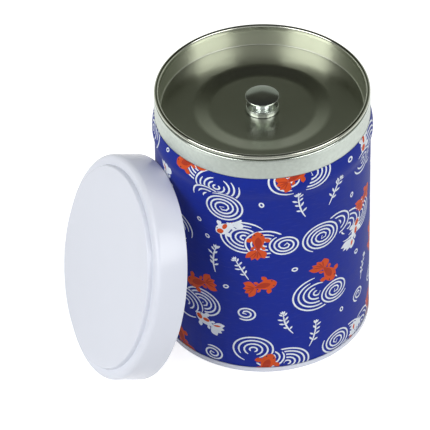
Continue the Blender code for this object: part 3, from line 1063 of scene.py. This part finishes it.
strip = np.array([(p.x, p.y) for p in flat_points])
angle = STRIP_START + strip[:, 0] * MM / (wall_radius + PAPER_OUTSIDE)
height = paper_foot + strip[:, 1] * MM
ramp = np.clip((strip[:, 0] - strip_round + LAP_RAMP) / LAP_RAMP, 0, 1)
lap = ramp * ramp * (3 - 2 * ramp) * (PAPER_THICKNESS + LAP_GAP)
to_edge = np.minimum(strip[:, 1], strip_height - strip[:, 1]) * MM
pressed = (PAPER_OUTSIDE - PAPER_THICKNESS - GLUE_GAP) * np.clip(1 - to_edge / EDGE_PRESSED, 0, 1) ** 2
radius = np.array([steel_radius(z) for z in height]) + PAPER_OUTSIDE + lap - pressed
rolled = np.stack(
    [tin_axis[0] + radius * np.cos(angle), tin_axis[1] + radius * np.sin(angle), height], axis=1
)

paper_mesh = bpy.data.meshes.new("printed_sleeve")
paper_mesh.from_pydata(rolled.tolist(), [], [flat_faces[k] for k in kept])
ink_of_face = paper_mesh.attributes.new("ink", "FLOAT_COLOR", "FACE")
for face, shape in enumerate(inks):
    ink = "ground" if shape == 0 else outlines[shape - 1][0]
    ink_of_face.data[face].color = (*INKS[ink], 1.0)
place_on_strip = paper_mesh.uv_layers.new(name="strip")
corners = np.empty(len(paper_mesh.loops), np.int32)
paper_mesh.loops.foreach_get("vertex_index", corners)
place_on_strip.uv.foreach_set("vector", (strip[corners] / MAP_UNIT).astype(np.float32).ravel())
paper = bpy.data.objects.new("printed_sleeve", paper_mesh)
bpy.context.scene.collection.objects.link(paper)
print("rolled", len(paper_mesh.vertices), "points")

# %% Face the paper outwards and thicken it
bpy.ops.object.select_all(action="DESELECT")
paper.select_set(True)
bpy.context.view_layer.objects.active = paper
bpy.ops.object.mode_set(mode="EDIT")
bpy.ops.mesh.select_all(action="SELECT")
bpy.ops.mesh.delete_loose()
bpy.ops.mesh.select_all(action="SELECT")
bpy.ops.mesh.normals_make_consistent(inside=False)
bpy.ops.object.mode_set(mode="OBJECT")
first = paper.data.polygons[0]
outward = Vector((first.center.x - tin_axis[0], first.center.y - tin_axis[1], 0))
if first.normal.dot(outward) < 0:
    paper.data.flip_normals()
thicken(paper, PAPER_THICKNESS, -1.0)
bpy.ops.object.shade_smooth_by_angle(angle=SMOOTH_ANGLE)
measure(paper)

# %% [markdown]
# ## The paper's finish
# Handmade-style paper shows long fibres that take the ink a little lighter, and a matt, slightly uneven
# surface. The ink comes from the faces' own attribute. Fibres are two noises stretched a long way in two
# directions and cut to their peaks, read on the strip's own map, so that they run flat over the bead.

# %% Printed paper
FIBRE_RUNS = [(1.25, 210.0), (-0.8, 170.0)]  # direction in radians, fineness
FIBRE_STRETCH = 9
FIBRE_COLOR = (0.62, 0.64, 0.72, 1.0)
FIBRE_SHOW = 0.016  # how much of the fibres' own colour comes through the ink
INK_THIN = (0.80, 0.80, 0.84)
INK_THICK = (1.12, 1.12, 1.10)


def fibres(tree, turn, fineness):
    """Thin strokes, mostly 0, along one direction of the strip."""
    place = add_node(tree, "ShaderNodeUVMap", uv_map="strip")
    stretch = (fineness / FIBRE_STRETCH, fineness, 1)
    along = add_node(tree, "ShaderNodeMapping", Rotation=(0, 0, turn), Scale=stretch)
    noise = add_node(tree, "ShaderNodeTexNoise", "fibres", Scale=1.0, Detail=2.0)
    peaks = add_node(tree, "ShaderNodeMapRange", From_Min=0.60, From_Max=0.74)
    tree.links.new(place.outputs[0], along.inputs["Vector"])
    tree.links.new(along.outputs[0], noise.inputs["Vector"])
    tree.links.new(noise.outputs["Fac"], peaks.inputs["Value"])
    return peaks.outputs["Result"]


printed_paper, tree, surface = new_finish("printed paper", INKS["ground"], 0.62, 0.0)
set_values(surface, Specular_IOR_Level=0.20, Sheen_Weight=0.25, Sheen_Roughness=0.35)
ink = add_node(tree, "ShaderNodeAttribute", attribute_name="ink")
crossed = add_node(tree, "ShaderNodeMath", operation="MAXIMUM")
for socket, (turn, fineness) in enumerate(FIBRE_RUNS):
    tree.links.new(fibres(tree, turn, fineness), crossed.inputs[socket])

mottle = add_node(tree, "ShaderNodeTexNoise", "mottle", Scale=300.0, Detail=4.0)
place = add_node(tree, "ShaderNodeTexCoord")
tree.links.new(place.outputs["Object"], mottle.inputs["Vector"])
worn = add_node(tree, "ShaderNodeMix", data_type="RGBA", blend_type="MULTIPLY")
worn.inputs[0].default_value = 1.0
tree.links.new(ink.outputs["Color"], worn.inputs[6])
tree.links.new(tint(tree, mottle.outputs["Fac"], INK_THIN, INK_THICK), worn.inputs[7])
lit = add_node(tree, "ShaderNodeMix", data_type="RGBA")
lit.inputs[7].default_value = FIBRE_COLOR
tree.links.new(between(tree, crossed.outputs[0], 0.0, FIBRE_SHOW), lit.inputs[0])
tree.links.new(worn.outputs[2], lit.inputs[6])
tree.links.new(lit.outputs[2], surface.inputs["Base Color"])
tree.links.new(between(tree, mottle.outputs["Fac"], 0.54, 0.72), surface.inputs["Roughness"])

grain = add_node(tree, "ShaderNodeBump", Strength=0.6, Distance=0.02 * MM)
raised = add_node(tree, "ShaderNodeBump", Strength=0.7, Distance=0.02 * MM)
wire(
    tree,
    (mottle.outputs["Fac"], grain.inputs["Height"]),
    (crossed.outputs[0], raised.inputs["Height"]),
    (grain.outputs["Normal"], raised.inputs["Normal"]),
    (raised.outputs["Normal"], surface.inputs["Normal"]),
)
paper.data.materials.append(printed_paper)
print("paper finish:", printed_paper.name)

# %% [markdown]
# ## Put the set together
# Each new piece rides on its body, so that it moves with it, and stands for the plain piece it was made from.
# The rivet and its washer sit out of sight under the pan. Their plain shapes are right, so they get zinc.

# %% Ride and replace
DRESSED = [  # piece, body, plain piece, finish's slot
    (tube, "tin", "body_shell", "satin_tinplate"),
    (paper, "tin", "paper_wrap", "printed_paper"),
    (base, "tin", "bottom_end", "white_enamel"),
    (pan, "inner_lid", "inner_lid_pan", "bright_tinplate"),
    (knob, "inner_lid", "knob", "polished_chrome"),
    (lid, "outer_lid", "outer_lid", "white_enamel"),
]
for piece, body, plain_piece, slot in DRESSED:
    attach(piece, body)
    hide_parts(plain_piece)

for name in ("knob_rivet", "rivet_washer"):
    for material_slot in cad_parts[name].material_slots:
        material_slot.material = zinc_plate
print(len(DRESSED), "pieces dressed")

# %% [markdown]
# ## Colour view
# Colours are shown as they are written, without a film look.

# %% Show colours as written
bpy.context.scene.view_settings.view_transform = "Standard"
